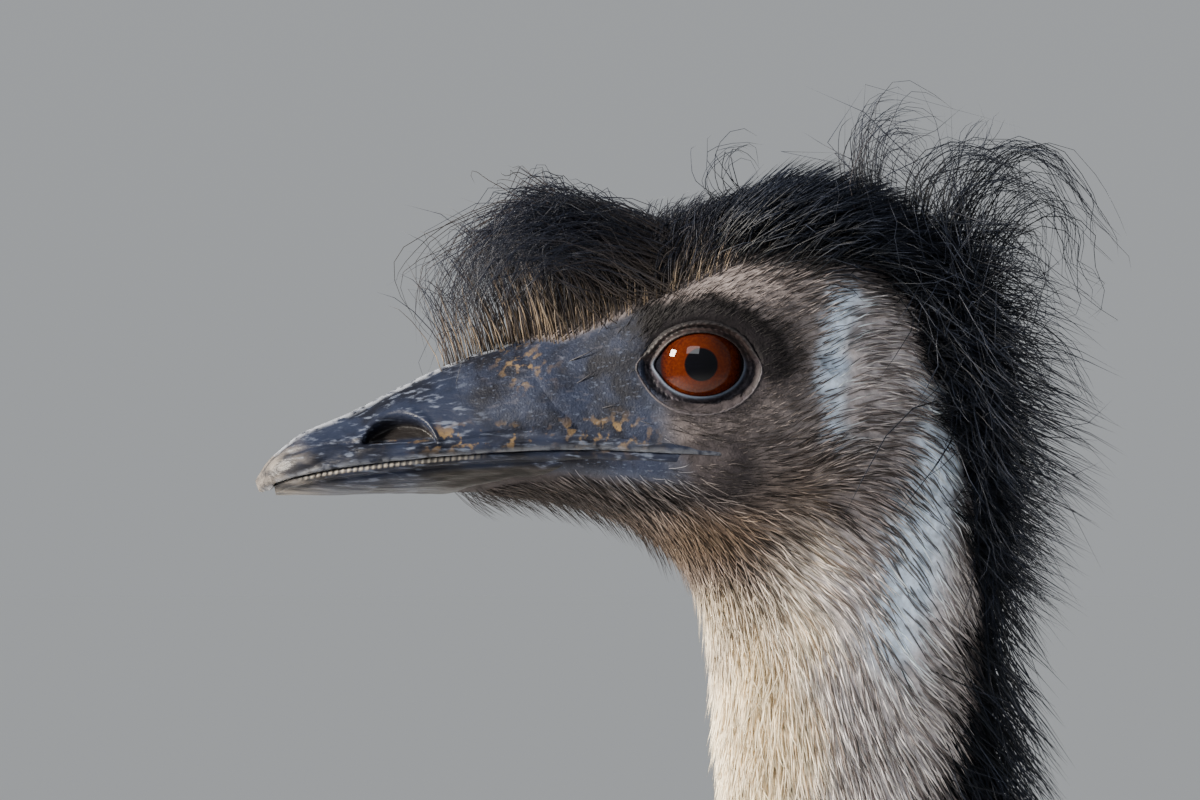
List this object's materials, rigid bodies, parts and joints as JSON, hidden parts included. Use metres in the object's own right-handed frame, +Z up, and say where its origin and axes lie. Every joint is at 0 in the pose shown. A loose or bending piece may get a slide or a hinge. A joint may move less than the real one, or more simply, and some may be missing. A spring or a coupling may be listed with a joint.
{
  "type": "emu",
  "caption": "Life-size standing emu with a messy head crest, long neck, shaggy drooping plumage, small wings and scaled three-toed feet.",
  "frame": {"origin": "on the floor, under the middle of the overall box", "axes": "+Z up, the bird faces -X, its left side faces -Y"},
  "size_m": [0.8721, 0.4432, 1.6652],
  "materials": {
    "head_skin": "bluish grey skin under short grey-brown and black hair-like feathers",
    "neck_plumage": "buff throat, grey sides, bare blue patches and a black hind neck",
    "body_plumage": "shaggy grey-brown double-shafted feathers with dark tips",
    "bill": "satin blue-black horn with a paler worn tip",
    "eye": "glossy orange-red iris with a round black pupil",
    "scaled_skin": "grey-brown horny scutes and scales",
    "claw": "dark worn horn"
  },
  "bodies": {
    "root": {"head": "head_skin", "bill_upper": "bill", "bill_lower": "bill", "eye_left": "eye", "eye_right": "eye", "neck_upper": "neck_plumage", "neck_middle": "neck_plumage", "neck_lower": "neck_plumage", "torso": "body_plumage", "tail": "body_plumage", "wing_left": "body_plumage", "wing_right": "body_plumage", "thigh_left": "body_plumage", "thigh_right": "body_plumage", "shank_left": "scaled_skin", "shank_right": "scaled_skin", "foot_left": "scaled_skin", "foot_right": "scaled_skin", "claw_middle_left": "claw", "claw_inner_left": "claw", "claw_outer_left": "claw", "claw_middle_right": "claw", "claw_inner_right": "claw", "claw_outer_right": "claw"}
  },
  "joints": []
}
